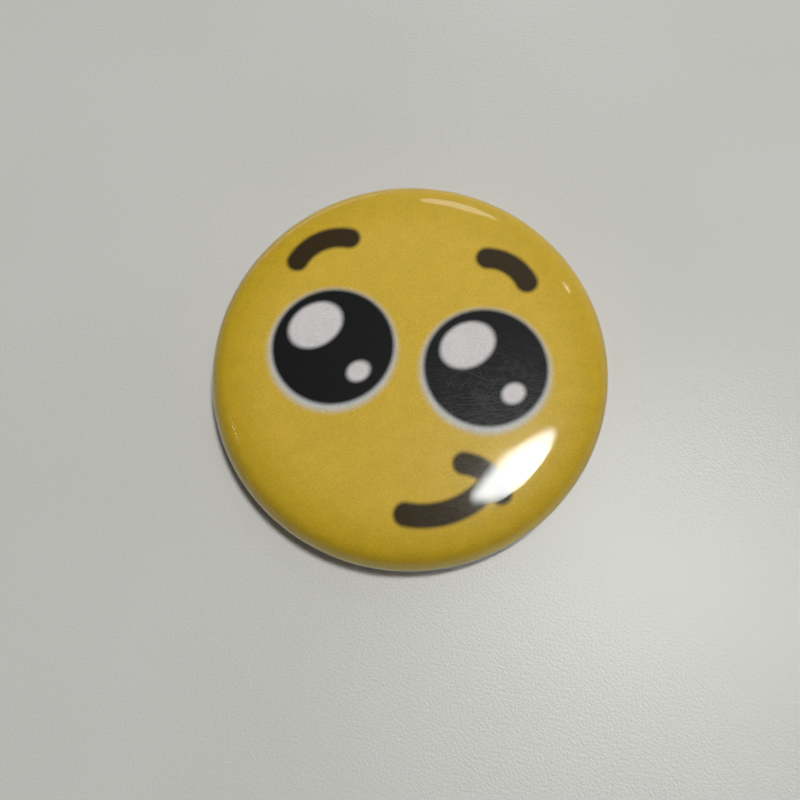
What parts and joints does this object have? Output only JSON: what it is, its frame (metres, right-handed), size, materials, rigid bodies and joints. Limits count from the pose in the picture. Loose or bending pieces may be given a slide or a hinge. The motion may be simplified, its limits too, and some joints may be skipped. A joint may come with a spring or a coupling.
{
  "type": "button badge",
  "caption": "Round domed button badge: printed paper under clear film on a tinplate shell, crimped to a back plate with a swinging safety pin.",
  "frame": {"origin": "centre of the plane that the badge lies on, under the middle of its face", "axes": "+Z out of the printed face, +Y towards the top of the picture, +X to the viewer's right of the picture"},
  "size_m": [0.058, 0.058, 0.0077],
  "materials": {
    "clear_film": "clear gloss polyester film with fine scratches",
    "printed_paper": "golden yellow digital print on smooth paper",
    "shell_tinplate": "bare tinplate",
    "back_tinplate": "bright tinplate with fine rolling lines",
    "pin_wire": "nickel plated spring wire",
    "pin_cap": "nickel plated folded sheet"
  },
  "bodies": {
    "badge": {"clear_film": "clear_film", "printed_paper": "printed_paper", "front_shell": "shell_tinplate", "back_plate": "back_tinplate"},
    "safety_pin": {"pin_spring": "pin_wire", "pin_cap": "pin_cap"},
    "needle": {"pin_needle": "pin_wire"}
  },
  "joints": [
    {"name": "pin_swing", "type": "hinge", "parent": "badge", "child": "safety_pin", "pos_m": [0, 0.006, 0.0021], "axis": [1, 0, 0], "range_deg": [0, 120]},
    {"name": "needle_open", "type": "hinge", "parent": "safety_pin", "child": "needle", "pos_m": [-0.01535, 0.00238, 0.00084], "axis": [0, 0.7071, -0.7071], "range_deg": [0, 50]}
  ]
}
